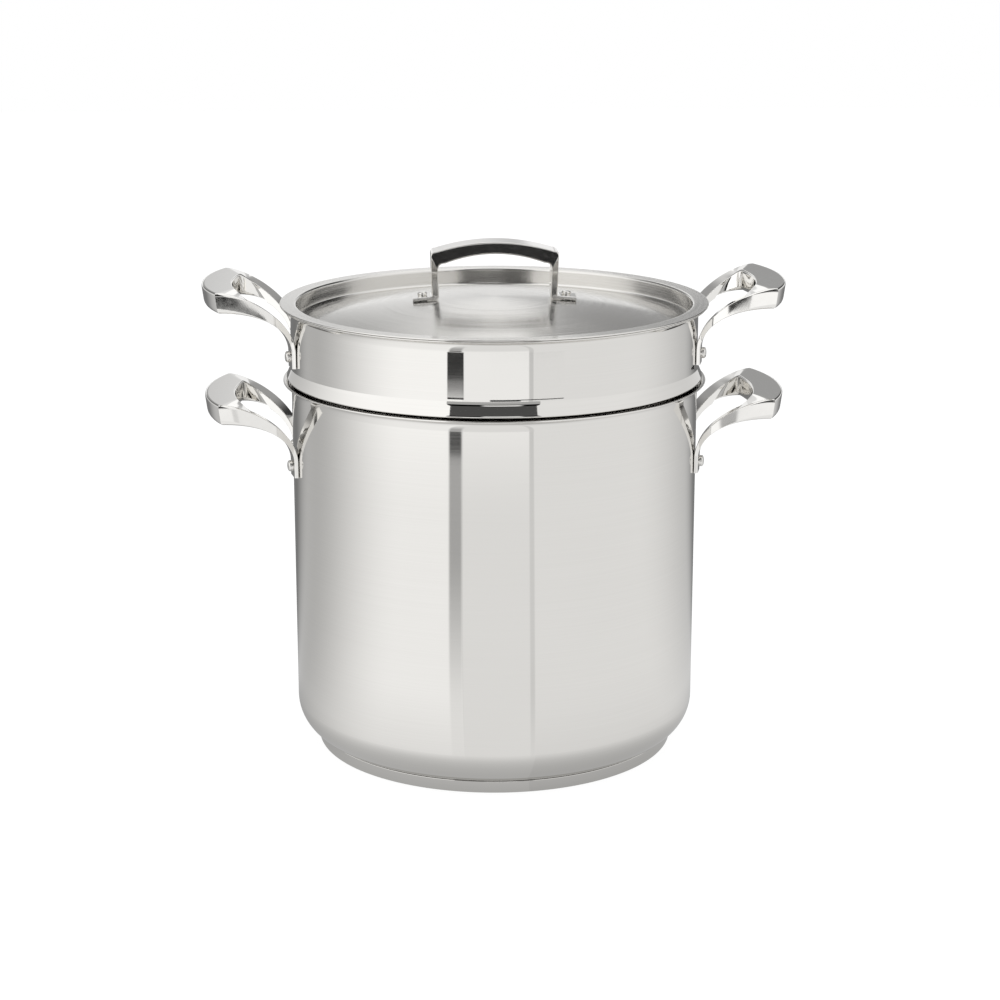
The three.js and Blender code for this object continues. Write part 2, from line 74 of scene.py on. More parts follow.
# %% [markdown]
# ## Shader maths that reads like Python
# A finish is a small graph of nodes. Wiring it by hand hides the formula, so one class wraps an output
# socket and turns + - * / ** into Math nodes, the first four in both orders. Every other node comes from
# a single method that takes the node's type, its settings and what goes into its sockets.

# %% Wire
class Wire:
    """One output of a node, for use in expressions."""

    def __init__(self, finish, socket):
        self.finish = finish
        self.socket = socket

    def math(self, operation, other, flip=False):
        first, second = (other, self) if flip else (self, other)
        return self.finish.node("ShaderNodeMath", {"operation": operation}, {0: first, 1: second})

    def __add__(self, other):
        return self.math("ADD", other)

    def __radd__(self, other):
        return self.math("ADD", other, flip=True)

    def __sub__(self, other):
        return self.math("SUBTRACT", other)

    def __rsub__(self, other):
        return self.math("SUBTRACT", other, flip=True)

    def __mul__(self, other):
        return self.math("MULTIPLY", other)

    def __rmul__(self, other):
        return self.math("MULTIPLY", other, flip=True)

    def __truediv__(self, other):
        return self.math("DIVIDE", other)

    def __rtruediv__(self, other):
        return self.math("DIVIDE", other, flip=True)

    def __pow__(self, other):
        return self.math("POWER", other)


print("wires take + - * / **")

# %% Finish
class Finish:
    """A material: one principled shader, its constant values, and the nodes that vary it."""

    def __init__(self, name, constants):
        self.material = bpy.data.materials.new(name)
        self.material.use_nodes = True
        self.tree = self.material.node_tree
        self.shader = self.tree.nodes["Principled BSDF"]
        for socket, value in constants.items():
            self.shader.inputs[socket].default_value = value

    def node(self, kind, settings, sockets, output=0):
        made = self.tree.nodes.new(kind)
        for setting, value in settings.items():
            setattr(made, setting, value)
        for socket, value in sockets.items():
            if isinstance(value, Wire):
                self.tree.links.new(value.socket, made.inputs[socket])
            else:
                made.inputs[socket].default_value = value
        return Wire(self, made.outputs[output])

    def feed(self, socket, wire):
        self.tree.links.new(wire.socket, self.shader.inputs[socket])

    def place(self):
        """The point on the piece in metres, as three wires."""
        point = self.node("ShaderNodeTexCoord", {}, {}, output="Object")
        return [self.node("ShaderNodeSeparateXYZ", {}, {0: point}, output=axis) for axis in "XYZ"]

    def noise(self, x, y, z, detail=3):
        """Smooth noise from 0 to 1 over three coordinates, with features about one unit long."""
        vector = self.node("ShaderNodeCombineXYZ", {}, {"X": x, "Y": y, "Z": z})
        return self.node("ShaderNodeTexNoise", {}, {"Vector": vector, "Scale": 1, "Detail": detail})

    def rise(self, value, low, high):
        """From 0 at low to 1 at high, smoothly. Low may be the larger of the two."""
        sockets = {"Value": value, "From Min": low, "From Max": high}
        return self.node("ShaderNodeMapRange", {"interpolation_type": "SMOOTHSTEP"}, sockets)

    def tint(self, amount, first, second):
        """A colour between two colours."""
        return self.node("ShaderNodeMix", {"data_type": "RGBA"}, {0: amount, 6: first, 7: second}, output=2)

    def bump(self, height, depth, strength):
        """Relief of a depth in metres, fed to the shader's normal."""
        sockets = {"Height": height, "Distance": depth, "Strength": strength}
        self.feed("Normal", self.node("ShaderNodeBump", {}, sockets))


print("shader helpers ready")

# %% [markdown]
# ## Satin steel, brushed round the pot
# The wall, the collar, the basket and the lid were turned against an abrasive belt, so their lines run in
# rings. Such lines smear a reflection across them: upwards on a wall, and outwards from the middle on a
# lid. The shader's anisotropy does that, with the smear a quarter turn from the lines. Noise that is long
# round the ring and short across it gives the lines themselves, in the colour, the roughness and the
# relief.

# %% Brushed finishes
def grey(level, warmth=0.024):
    """A steel colour: a level, slightly warm."""
    return (level + warmth / 2, level, level - warmth, 1)


steel_level = 0.72
steel_tint = 0.04
quarter_turn = 0.25
line_length = 0.12
broad_lines = 12
clouds_per_metre = 14
fine_share = 0.8
line_share = 0.8
line_ramp = (0.38, 0.64)
cloud_roughness = 0.03
line_strength = 0.35


def brushed(name, smooth_line, rough_line, anisotropy, line_width=0.0003, relief=0.000001):
    """Steel with rings of finer and coarser lines, whose roughness goes from one value to the other."""
    finish = Finish(name, {"Metallic": 1, "Anisotropic": anisotropy, "Anisotropic Rotation": quarter_turn})
    x, y, z = finish.place()
    ring = (x * x + y * y) ** 0.5 + z
    fine = finish.noise(x / line_length, y / line_length, ring / line_width, detail=5)
    broad = finish.noise(x / line_length, y / line_length, ring / (broad_lines * line_width), detail=2)
    cloud = finish.noise(x * clouds_per_metre, y * clouds_per_metre, z * clouds_per_metre, detail=2)
    lines = fine * fine_share + broad * (1 - fine_share)
    shade = lines * line_share + cloud * (1 - line_share)
    dark, light = grey(steel_level - steel_tint), grey(steel_level + steel_tint)
    finish.feed("Base Color", finish.tint(shade, dark, light))
    line_roughness = finish.rise(fine, *line_ramp) * (rough_line - smooth_line)
    finish.feed("Roughness", smooth_line + line_roughness + cloud * cloud_roughness)
    finish.bump(fine, relief, line_strength)
    return finish.material


pot_satin = brushed("pot_satin", smooth_line=0.02, rough_line=0.05, anisotropy=0.6)
collar_satin = brushed("collar_satin", smooth_line=0.015, rough_line=0.035, anisotropy=0.6)
lid_satin = brushed("lid_satin", smooth_line=0.12, rough_line=0.25, anisotropy=0.85)
basket_sheet = brushed(
    "basket_sheet", smooth_line=0.18, rough_line=0.3, anisotropy=0.5, line_width=0.0004, relief=0.000002
)
print("brushed finishes:", pot_satin.name, collar_satin.name, lid_satin.name, basket_sheet.name)

# %% [markdown]
# ## Polished and bare metal
# The cast handles were buffed until they mirror the room, which leaves faint waves rather than lines. The
# rivets are bright with a little wear, and the aluminium disc in the base is never seen.

# %% Other finishes
haze_per_metre = 400
haze_tint = 0.03
wave_roughness = 0.02
wave_strength = 0.4


def polished(name, level, roughness, wave, relief):
    """Metal with faint waves of a given length and a fine haze in its colour and roughness."""
    finish = Finish(name, {"Metallic": 1})
    x, y, z = finish.place()
    waves = finish.noise(x / wave, y / wave, z / wave, detail=2)
    haze = finish.noise(x * haze_per_metre, y * haze_per_metre, z * haze_per_metre, detail=4)
    finish.feed("Base Color", finish.tint(haze, grey(level - haze_tint), grey(level + haze_tint)))
    finish.feed("Roughness", roughness + (haze - 0.5) * roughness + (waves - 0.5) * wave_roughness)
    finish.bump(waves, relief, wave_strength)
    return finish.material


handle_mirror = polished("handle_mirror", level=0.82, roughness=0.05, wave=0.014, relief=0.000015)
rivet_bright = polished("rivet_bright", level=0.72, roughness=0.16, wave=0.003, relief=0.00002)
bare_aluminium = polished("bare_aluminium", level=0.7, roughness=0.45, wave=0.005, relief=0.00003)
print("other finishes:", handle_mirror.name, rivet_bright.name, bare_aluminium.name)

# %% [markdown]
# ## Outlines, turned pieces and lofted pieces
# Nearly everything here is sheet metal spun on a lathe: a closed outline turned about the axis. The
# handles are castings whose section changes along a path, so they are lofts: rings of matching points
# joined by bands. Both are written as plain vertices and faces, because that keeps each rounding where
# the real one is. A straight run gets an extra point close to each end: smooth shading then bends the
# light at the rounding and not on the run.

# %% Curves and objects
def arc(centre, radius, start, end, steps=12):
    """Points round a centre, from one angle to another in degrees."""
    angles = [math.radians(start + (end - start) * k / steps) for k in range(steps + 1)]
    return [(centre[0] + radius * math.cos(a), centre[1] + radius * math.sin(a)) for a in angles]


def bow(start, control, end, steps=12):
    """Points on a curve that leaves start towards control and comes to end from it."""
    start, control, end = Vector(start), Vector(control), Vector(end)
    shares = [k / steps for k in range(steps + 1)]
    return [tuple(start * (1 - t) ** 2 + control * 2 * t * (1 - t) + end * t * t) for t in shares]


sheet_sharp = 40


def make(name, points, faces, body, nodes, material, slot, sharp=sheet_sharp):
    """An object that rides on a body and stands for CAD nodes."""
    mesh = bpy.data.meshes.new(name)
    mesh.from_pydata(points, [], faces)
    mesh.shade_smooth()
    mesh.set_sharp_from_angle(angle=math.radians(sharp))
    mesh.materials.append(material)
    made = bpy.data.objects.new(name, mesh)
    bpy.context.scene.collection.objects.link(made)
    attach(made, body)
    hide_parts(*nodes)
    return made


print("curves and objects ready")

# %% Turning and lofting
sides = 192
on_axis = 1e-6


def steadied(outline, long_run=0.003, margin=0.0001):
    """An outline with an extra point close to each end of its long straight runs."""
    points = [Vector(point) for point in outline]
    result = []
    for point, after in zip(points, points[1:] + [None]):
        result.append(point)
        if after and (after - point).length > long_run:
            step = (after - point).normalized() * margin
            result += [point + step, after - step]
    return result


def turned(outline, count=sides):
    """Vertices and faces of an outline of (radius, height) turned about Z, its underside first."""
    points, faces, rows = [], [], []
    for radius, height in steadied(outline):
        first = len(points)
        if radius < on_axis:
            points.append(Vector((0, 0, height)))
            rows.append([first] * count)
            continue
        for k in range(count):
            angle = 2 * math.pi * k / count
            points.append(Vector((radius * math.cos(angle), radius * math.sin(angle), height)))
        rows.append(list(range(first, first + count)))
    closed = points[0].xy.length > on_axis
    for k in range(len(rows) if closed else len(rows) - 1):
        low, high = rows[k], rows[(k + 1) % len(rows)]
        for i in range(count):
            j = (i + 1) % count
            corners = dict.fromkeys((low[i], low[j], high[j], high[i]))
            if len(corners) > 2:
                faces.append(tuple(corners))
    return points, faces


def lofted(rings):
    """Vertices and faces of rings joined by bands, with a face over each end."""
    count = len(rings[0])
    points = [point for ring in rings for point in ring]
    faces = []
    for k in range(len(rings) - 1):
        for i in range(count):
            a, b = k * count + i, k * count + (i + 1) % count
            faces.append((a, b, b + count, a + count))
    faces.append(tuple(reversed(range(count))))
    faces.append(tuple(range(len(points) - count, len(points))))
    return points, faces


print("turning with", sides, "sides")

# %% [markdown]
# ## The pot
# The pot is drawn from one sheet: a flat floor, a generous corner, a straight wall and a rim that flares
# to a level pouring lip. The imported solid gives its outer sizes; the sheet's thickness and the corner are
# the usual ones. The lip's edge is rounded here, because a bright line along it is what makes sheet metal
# look thin.

# %% Pot body
sheet = 0.001
rim_flare = 0.005
rim_rise = 0.007
corner = 0.022

pot_low, pot_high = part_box("pot_body")
lip = pot_high.x
wall = lip - rim_flare
rim = pot_high.z
floor = pot_low.z


def flared_rim(wall_radius, lip_radius, top, thickness):
    """The rim from the outside of the wall, over the rounded lip, to the inside of the wall."""
    inner = wall_radius - thickness
    half = thickness / 2
    under_lip = (lip_radius - half, top - thickness)
    outside = bow((wall_radius, top - rim_rise), (wall_radius, top - thickness), under_lip)
    lip_edge = arc((lip_radius - half, top - half), half, -90, 90, 6)
    inside = bow((lip_radius - half, top), (inner, top), (inner, top - rim_rise))
    return outside + lip_edge[1:-1] + inside


pot_outline = [(0, floor)]
pot_outline += arc((wall - corner, floor + corner), corner, -90, 0, 20)
pot_outline += flared_rim(wall, lip, rim, sheet)
pot_outline += arc((wall - corner, floor + corner), corner - sheet, 0, -90, 20)
pot_outline += [(0, floor + sheet)]
make("pot_shell", *turned(pot_outline), "pot", ["pot_body"], pot_satin, "brushed_steel")
print("pot", round(2000 * wall), "mm across,", round(1000 * rim), "mm high")

# %% [markdown]
# ## The base
# Under the floor lies an aluminium disc in a thin stainless cap, which is pressed on and leaves a fine
# dark groove under the pot's corner. Only the cap's rounded edge shows.

# %% Base cap
cap_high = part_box("base_cap")[1]
cap_edge = 0.0015
cap_sheet = 0.0006
cap_radius = cap_high.x
cap_lip = cap_sheet / 2

cap_outline = [(0, 0)]
cap_outline += arc((cap_radius - cap_edge, cap_edge), cap_edge, -90, 0, 8)
cap_outline += arc((cap_radius - cap_lip, cap_high.z - cap_lip), cap_lip, 0, 180, 6)
cap_outline += [(cap_radius - cap_sheet, cap_edge), (cap_radius - cap_edge, cap_sheet), (0, cap_sheet)]
make("base_plate", *turned(cap_outline), "pot", ["base_cap"], pot_satin, "brushed_steel")

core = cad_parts["base_core"]
core.data.materials.clear()
core.data.materials.append(bare_aluminium)
print("base", round(2000 * cap_radius), "mm across")

# %% [markdown]
# ## The insert's collar
# Above the pot's rim the insert shows as a second wall. At its foot the sheet slopes out as a skirt and
# turns back in under it, where it rests in the pot's flared rim and carries the basket. Skirt and rim
# leave a narrow gap all round, too deep for the light, which reads as a black line. At the top the collar
# flares like the pot.

# %% Collar
collar_low, collar_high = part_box("insert_collar")
collar_sheet = 0.0009
skirt_flare = 0.0032
skirt_top = 0.0096
skirt_bottom = 0.0023
skirt_round = 0.0012
crease_round = 0.0035
seat_step = -0.002
seat_gap = 0.0003

seat = collar_low.z
basket_low, basket_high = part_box("insert_basket")
basket_sheet_thickness = 0.0008
basket_flange = 0.003
basket_wall = basket_high.x - basket_flange
shelf = basket_wall + seat_gap
shelf_top = seat + collar_sheet
inner_wall = wall - collar_sheet
seat_ring = wall + seat_step
skirt_edge = (wall + skirt_flare, seat + skirt_bottom)
crease = (wall, seat + skirt_top)


def rounded(before, point, after, cut, steps=8):
    """A corner of an outline, rounded towards the points before and after it."""
    point = Vector(point)
    start = point + (Vector(before) - point).normalized() * cut
    end = point + (Vector(after) - point).normalized() * cut
    return bow(start, point, end, steps)


collar_outline = [(shelf, seat), (seat_ring, seat)]
collar_outline += rounded((seat_ring, seat), skirt_edge, crease, skirt_round)
crease_start = Vector(crease) + (Vector(skirt_edge) - Vector(crease)).normalized() * skirt_round
collar_outline += bow(crease_start, crease, (wall, crease[1] + crease_round), 10)
collar_outline += flared_rim(wall, wall + rim_flare, collar_high.z, collar_sheet)
collar_outline += [(inner_wall, crease[1])]
collar_outline += [(skirt_edge[0] - collar_sheet - skirt_round / 4, skirt_edge[1] + skirt_round / 4)]
collar_outline += [(seat_ring - collar_sheet, shelf_top), (shelf, shelf_top)]
make("collar", *turned(collar_outline), "insert", ["insert_collar"], collar_satin, "brushed_steel")
print("collar", round(1000 * (collar_high.z - seat)), "mm high over the pot")

# %% [markdown]
# ## The lid
# A flat flange rests on the collar. Inside it the sheet drops as an upright wall, runs level for a few
# millimetres and then rises as a shallow dome. The dome is part of a sphere whose size follows from its
# width and its rise.

# %% Lid shell
lid_low, lid_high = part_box("lid_shell")
lid_sheet = 0.0009
lid_fit = 0.0018
lid_ledge = 0.007

lid_edge = lid_high.x
lid_wall = wall - sheet - lid_fit
flange_top = collar_high.z + seat_gap + lid_sheet
ledge_top = lid_low.z + lid_sheet
dome_edge = lid_wall - lid_ledge
dome_rise = lid_high.z - ledge_top
dome_radius = (dome_edge ** 2 + dome_rise ** 2) / (2 * dome_rise)
bend = 0.0018


def dome_height(distance):
    """The lid's top surface at a distance from its middle."""
    return lid_high.z - dome_radius + math.sqrt(dome_radius ** 2 - distance ** 2)


dome_steps = 40
across = [dome_edge * k / dome_steps for k in range(dome_steps + 1)]
flange_low = flange_top - lid_sheet
flange_start = lid_wall + lid_sheet
half = lid_sheet / 2
lid_outline = [(r, dome_height(r) - lid_sheet) for r in across]
lid_outline += bow((lid_wall - bend, lid_low.z), (lid_wall, lid_low.z), (lid_wall, lid_low.z + bend))
lid_outline += bow((lid_wall, flange_low - lid_sheet), (lid_wall, flange_low), (flange_start, flange_low))
lid_outline += arc((lid_edge - half, flange_low + half), half, -90, 90, 6)
inside = lid_wall - lid_sheet
lid_outline += bow((flange_start, flange_top), (inside, flange_top), (inside, flange_top - bend))
lid_outline += bow((inside, ledge_top + bend), (inside, ledge_top), (inside - bend, ledge_top))
lid_outline += [(r, dome_height(r)) for r in reversed(across)]
make("lid_plate", *turned(lid_outline), "lid", ["lid_shell"], lid_satin, "brushed_steel")
print("lid", round(2000 * lid_edge), "mm across, dome rises", round(1000 * dome_rise), "mm")

# %% [markdown]
# ## The side handles
# Each handle is a casting: two flat legs riveted to the wall sweep out and up as arms, spread apart and
# join in a broad grip with a level top. Its section has four corners, and each corner runs along its own
# rail. The rails come from two side curves, the upper and the lower edge of the arm, and a plan of the
# finger hole and the grip. Stations along half a loop are worked out, the other half mirrors them, and
# the whole loop is lofted.

# %% Handle sizes
reach = 0.05137
grip_depth = 0.0182
grip_thickness = 0.012
grip_half = 0.047
grip_top_round = 0.0012
grip_edge_round = 0.0022
grip_low_round = 0.003
end_slant = 0.0016
end_bow = 0.0012
end_shoulder = 0.036
level_run = 0.0014
hole_half = 0.031
hole_corner_run = 0.006
arm_bulge = 0.0014
arm_turn = 0.016
arm_turn_under = 0.028
arm_bend_out = 0.036
arm_bend_under = 0.014
leg_spacing = 0.053
leg_width = 0.012
leg_thickness = 0.0024
leg_drop = 0.0475
leg_straight = 0.009
leg_round = 0.0007
edge_round = 0.0011
arm_share = 0.6
arm_span = reach - level_run
hole_end = reach - grip_depth
seat_radius = wall + seat_gap
print("handles reach", round(1000 * reach, 1), "mm and are", round(2000 * grip_half), "mm wide")

# %% Handle rails
def mix(a, b, share):
    return a + (b - a) * share


def cubic(points, t):
    """A point on a curve with two end points and two control points."""
    a, b, c, d = (Vector(p) for p in points)
    return a * (1 - t) ** 3 + b * 3 * t * (1 - t) ** 2 + c * 3 * t * t * (1 - t) + d * t ** 3


arm_upper = [(0, leg_straight - leg_drop), (0, -arm_turn), (arm_bend_out, 0), (arm_span, 0)]
arm_lower = [
    (leg_thickness, leg_straight - leg_drop),
    (leg_thickness, -arm_turn_under),
    (arm_bend_under, -grip_thickness - edge_round),
    (arm_span - end_slant, -grip_thickness),
]


def height_at(edge, distance):
    """The height of an arm's edge at a distance from the wall, found by halving."""
    low, high = 0.0, 1.0
    for _ in range(40):
        middle = (low + high) / 2
        if cubic(edge, middle).x < distance:
            low = middle
        else:
            high = middle
    return cubic(edge, low).y


leg_inside, leg_outside = (leg_spacing - leg_width) / 2, (leg_spacing + leg_width) / 2
hole_start = cubic(arm_upper, arm_share).x
tip_start = reach - end_bow


def spread(first, bulge, last, distance, end):
    """A side's place across at a distance from the wall, from the leg to its end with a slight bulge."""
    share = min(max((distance - leg_thickness) / (end - leg_thickness), 0), 1)
    return mix(first, last, share) + 4 * bulge * share * (1 - share)


def outside_at(distance):
    return spread(leg_outside, arm_bulge, grip_half, distance, tip_start)


def inside_at(distance):
    return spread(leg_inside, 0, hole_half, distance, hole_start)


def smooth(value):
    value = min(max(value, 0), 1)
    return value * value * (3 - 2 * value)


print("the finger hole starts", round(1000 * hole_start, 1), "mm from the wall")

# %% Handle stations
def section(corners, rounds, steps=5, margin=0.00004):
    """A ring round four corners, each rounded by its own amount, with a point beside each rounding."""
    ring = []
    for i, point in enumerate(corners):
        before, after = corners[i - 1] - point, corners[(i + 1) % 4] - point
        room = min(before.length, after.length) / 2 - 3 * margin
        cut = min(rounds[i], room)
        back, on = before.normalized(), after.normalized()
        curve = bow(point + back * cut, point, point + on * cut, steps)
        ring += [point + back * (cut + margin), *(Vector(p) for p in curve), point + on * (cut + margin)]
    return ring


def arm_station(upper, lower):
    """Four corners on the arm's two edges, with upright sides, and 0 because none of it is grip."""
    corners = [(upper.x, inside_at(upper.x), upper.y), (upper.x, outside_at(upper.x), upper.y)]
    corners += [(lower.x, outside_at(lower.x), lower.y), (lower.x, inside_at(lower.x), lower.y)]
    return [Vector(c) for c in corners], 0


def handle_half(arm_steps=24, turn_steps=14, end_steps=20):
    """Stations from the end of a leg to the middle of the grip: four corners, and how far it is grip."""
    stations = [arm_station(Vector((0, -leg_drop)), Vector((leg_thickness, -leg_drop)))]
    for k in range(arm_steps + 1):
        t = k / arm_steps * arm_share
        stations.append(arm_station(cubic(arm_upper, t), cubic(arm_lower, t)))
    shift = hole_start - cubic(arm_lower, arm_share).x
    hole_turn = (hole_end, hole_half - hole_corner_run)
    hole = bow((hole_start, hole_half), (hole_end, hole_half), hole_turn, turn_steps)[1:]
    hole += [(hole_end, hole_turn[1] * (1 - k / end_steps)) for k in range(1, end_steps + 1)]
    tip = bow((tip_start, grip_half), (reach, end_shoulder), (reach, 0), end_steps)
    for k, inner in enumerate(hole, 1):
        grip = min(1, k / turn_steps)
        outer = tip[max(0, k - turn_steps)]
        outer_top = mix(hole_start, outer[0], grip)
        outer_low = outer_top - mix(shift, end_slant, grip)
        inner_top = mix(height_at(arm_upper, inner[0]), -leg_round, smooth(grip))
        inner_low = inner[0] - mix(shift, 0, grip)
        corners = [
            Vector((inner[0], inner[1], inner_top)),
            Vector((outer_top, min(outer[1], outside_at(outer_top)), height_at(arm_upper, outer_top))),
            Vector((outer_low, min(outer[1], outside_at(outer_low)), height_at(arm_lower, outer_low))),
            Vector((inner_low, inner[1], height_at(arm_lower, inner_low))),
        ]
        stations.append((corners, grip))
    return stations


print(len(handle_half()), "stations in half a loop")

# %% Side handles
def side_handle(name, node, body, facing):
    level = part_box(node)[0].z + leg_drop
    half_loop = handle_half()
    loop = [(station, -1) for station in half_loop] + [(station, 1) for station in half_loop[-2::-1]]
    rings = []
    for (corners, grip), mirror in loop:
        placed = []
        for corner_point in corners:
            v = corner_point.y * mirror
            out = math.sqrt(seat_radius ** 2 - v * v) + corner_point.x
            placed.append(Vector((out * facing, v * facing, level + corner_point.z)))
        rounds = grip_top_round, grip_edge_round, grip_low_round, grip_low_round
        rings.append(section(placed, [mix(leg_round, amount, grip) for amount in rounds]))
    return make(name, *lofted(rings), body, [node], handle_mirror, "polished_steel", sharp=50)


for body in ("pot", "insert"):
    for side_name, facing in (("left", -1), ("right", 1)):
        made = side_handle(f"{body}_loop_{side_name}", f"{body}_handle_{side_name}", body, facing)
print("four side handles,", len(made.data.vertices), "vertices each")

# %% [markdown]
# ## The lid's handle
# A strap of the same polished steel: a low arch over two upright legs, with feet turned out flat on the
# dome. It is a loft too, along an outer and an inner line that match point for point.

# %% Lid handle
strap_low, strap_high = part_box("lid_handle")
strap_span = 0.0756
strap_arch = 0.0054
strap_thickness = 0.007
strap_leg = 0.0042
strap_edge_round = 0.0008
strap_lean = 0.0006
strap_outer_round = 0.0028
strap_inner_round = 0.0045
strap_widen_rise = 0.02
foot_length = 0.0106
foot_width = 0.014
foot_thickness = 0.0023
foot_bend = 0.0016
strap_width = strap_high.y - strap_low.y


def strap_lines():
    """Matching points on the strap's outside and inside, from a foot's tip to the bar's middle."""
    outside = strap_span / 2
    inside = outside - strap_leg
    heel = dome_height(inside) + seat_gap
    top = strap_high.z
    shoulder = top - strap_arch
    under = shoulder - strap_thickness
    foot_tip = outside + foot_length
    tip_under = (foot_tip, dome_height(foot_tip) + seat_gap)
    tip_top = (foot_tip, tip_under[1] + foot_thickness)
    heel_top = (outside + foot_bend, dome_height(outside + foot_bend) + seat_gap + foot_thickness)
    heel_under = (outside, heel)
    leg_outer = (outside - strap_lean, heel_top[1] + foot_bend)
    leg_inner = (inside - strap_lean, heel + foot_bend)
    corner_outer = (outside, shoulder - strap_outer_round)
    corner_inner = (inside, under - strap_inner_round)
    bar_outer = (outside - strap_outer_round, shoulder)
    bar_inner = (inside - strap_inner_round, under)
    outer = [tip_top] + bow(heel_top, (leg_outer[0], heel_top[1]), leg_outer, 8)
    inner = [tip_under] + bow(heel_under, (leg_inner[0], heel), leg_inner, 8)
    outer += bow(corner_outer, (outside, shoulder), bar_outer, 10)
    inner += bow(corner_inner, (inside, under), bar_inner, 10)
    outer += bow(bar_outer, (bar_outer[0] / 2, top), (0, top), 16)[1:]
    inner += bow(bar_inner, (bar_inner[0] / 2, top - strap_thickness), (0, top - strap_thickness), 16)[1:]
    return list(zip(outer, inner))


half_strap = strap_lines()
whole_strap = [(pair, 1) for pair in half_strap] + [(pair, -1) for pair in half_strap[-2::-1]]
strap_rings = []
for (outer, inner), facing in whole_strap:
    widen = smooth((outer[1] - lid_high.z) / strap_widen_rise)
    half_width = mix(foot_width, strap_width, widen) / 2
    corners = [(outer[0], -half_width, outer[1]), (outer[0], half_width, outer[1])]
    corners += [(inner[0], half_width, inner[1]), (inner[0], -half_width, inner[1])]
    placed = [Vector((facing * x, y, z)) for x, y, z in corners]
    strap_rings.append(section(placed, [strap_edge_round] * 4))
make("lid_strap", *lofted(strap_rings), "lid", ["lid_handle"], handle_mirror, "polished_steel", sharp=50)
print("lid strap", round(1000 * strap_span), "mm wide")

# %% [markdown]
# ## The rivets
# Each rivet has a shank through leg and wall, a button head outside and a low wide head inside. One
# function draws their outlines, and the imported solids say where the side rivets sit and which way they
# point.

# %% Rivets
shank = 0.0024
head_dome = 0.45
head_crown = 0.96
side_inner_radius = 0.005
side_inner_height = 0.0018
side_head_radius = 0.0033
side_head_height = 0.0028
lid_inner_radius = 0.0043
lid_inner_height = 0.0013
lid_head_radius = 0.0028
lid_head_height = 0.002
rivet_sides = 40


def rivet_outline(back, front, inner_radius, inner_height, head_radius, head_height):
    """A rivet along Z. Its middle plane is the outside of the wall or the top of the dome."""
    bottom = back - inner_height
    top = front + head_height
    inner = bow((0, bottom), (inner_radius, bottom), (inner_radius, back), 8)
    head = [(head_radius, front)]
    head += bow((head_radius, top - head_dome * head_height), (head_radius * head_crown, top), (0, top), 10)
    return inner + [(shank, back), (shank, front)] + head


def rivet(name, node, body, outline, base, direction):
    points, faces = turned(outline, rivet_sides)
    turn = Vector((0, 0, 1)).rotation_difference(direction).to_matrix()
    placed = [base + turn @ point for point in points]
    return make(name, placed, faces, body, [node], rivet_bright, "rivet_steel", sharp=35)


leg_front = seat_gap + leg_thickness
side_sizes = side_inner_radius, side_inner_height, side_head_radius, side_head_height
side_outline = rivet_outline(-sheet - 2 * seat_gap, leg_front, *side_sizes)
for body in ("pot", "insert"):
    for place in ("left_front", "left_back", "right_front", "right_back"):
        node = f"{body}_rivet_{place}"
        low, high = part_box(node)
        middle = (low + high) / 2
        outward = Vector((middle.x, middle.y, 0)).normalized()
        base = outward * wall + Vector((0, 0, middle.z))
        rivet(f"{body}_stud_{place}", node, body, side_outline, base, outward)

foot_front = seat_gap + foot_thickness + seat_gap
lid_sizes = lid_inner_radius, lid_inner_height, lid_head_radius, lid_head_height
lid_rivet_outline = rivet_outline(-lid_sheet - seat_gap, foot_front, *lid_sizes)
for place, facing in (("left", -1), ("right", 1)):
    distance = strap_span / 2 + foot_bend + seat_gap + lid_head_radius
    tilt = math.asin(distance / dome_radius)
    up = Vector((facing * math.sin(tilt), 0, math.cos(tilt)))
    base = Vector((facing * distance, 0, dome_height(distance)))
    rivet(f"lid_stud_{place}", f"lid_rivet_{place}", "lid", lid_rivet_outline, base, up)
print("ten rivets")

# %% [markdown]
# ## The basket
# Inside the pot hangs the part that does the straining: a pressed basket with staggered rows of round
# holes in its wall and rings of them in its floor. The sheet is turned first, and the holes are cut
# through it as the real punch does, with one boolean for all of them.

# %% Basket
basket_corner = 0.014
hole_radius = 0.003
row_pitch = 0.022
plain_band = 0.05
ring_pitch = 0.025
places_round = 36
basket_sides = 144
punch_sides = 16

flange_bottom = seat + collar_sheet + seat_gap
corner_level = basket_low.z + basket_corner
corner_centre = (basket_wall - basket_corner, corner_level)
basket_inner = basket_wall - basket_sheet_thickness
flange_edge = basket_high.x
basket_outline = [(0, basket_low.z)]
basket_outline += arc(corner_centre, basket_corner, -90, 0, 12)
basket_outline += [(basket_wall, flange_bottom), (flange_edge, flange_bottom)]
basket_outline += [(flange_edge, basket_high.z), (basket_wall, basket_high.z)]
basket_outline += [(basket_inner, flange_bottom)]
basket_outline += arc(corner_centre, basket_corner - basket_sheet_thickness, 0, -90, 12)
basket_outline += [(0, basket_low.z + basket_sheet_thickness)]
basket_shape = turned(basket_outline, basket_sides)
basket = make("basket", *basket_shape, "insert", ["insert_basket"], basket_sheet, "basket_steel")


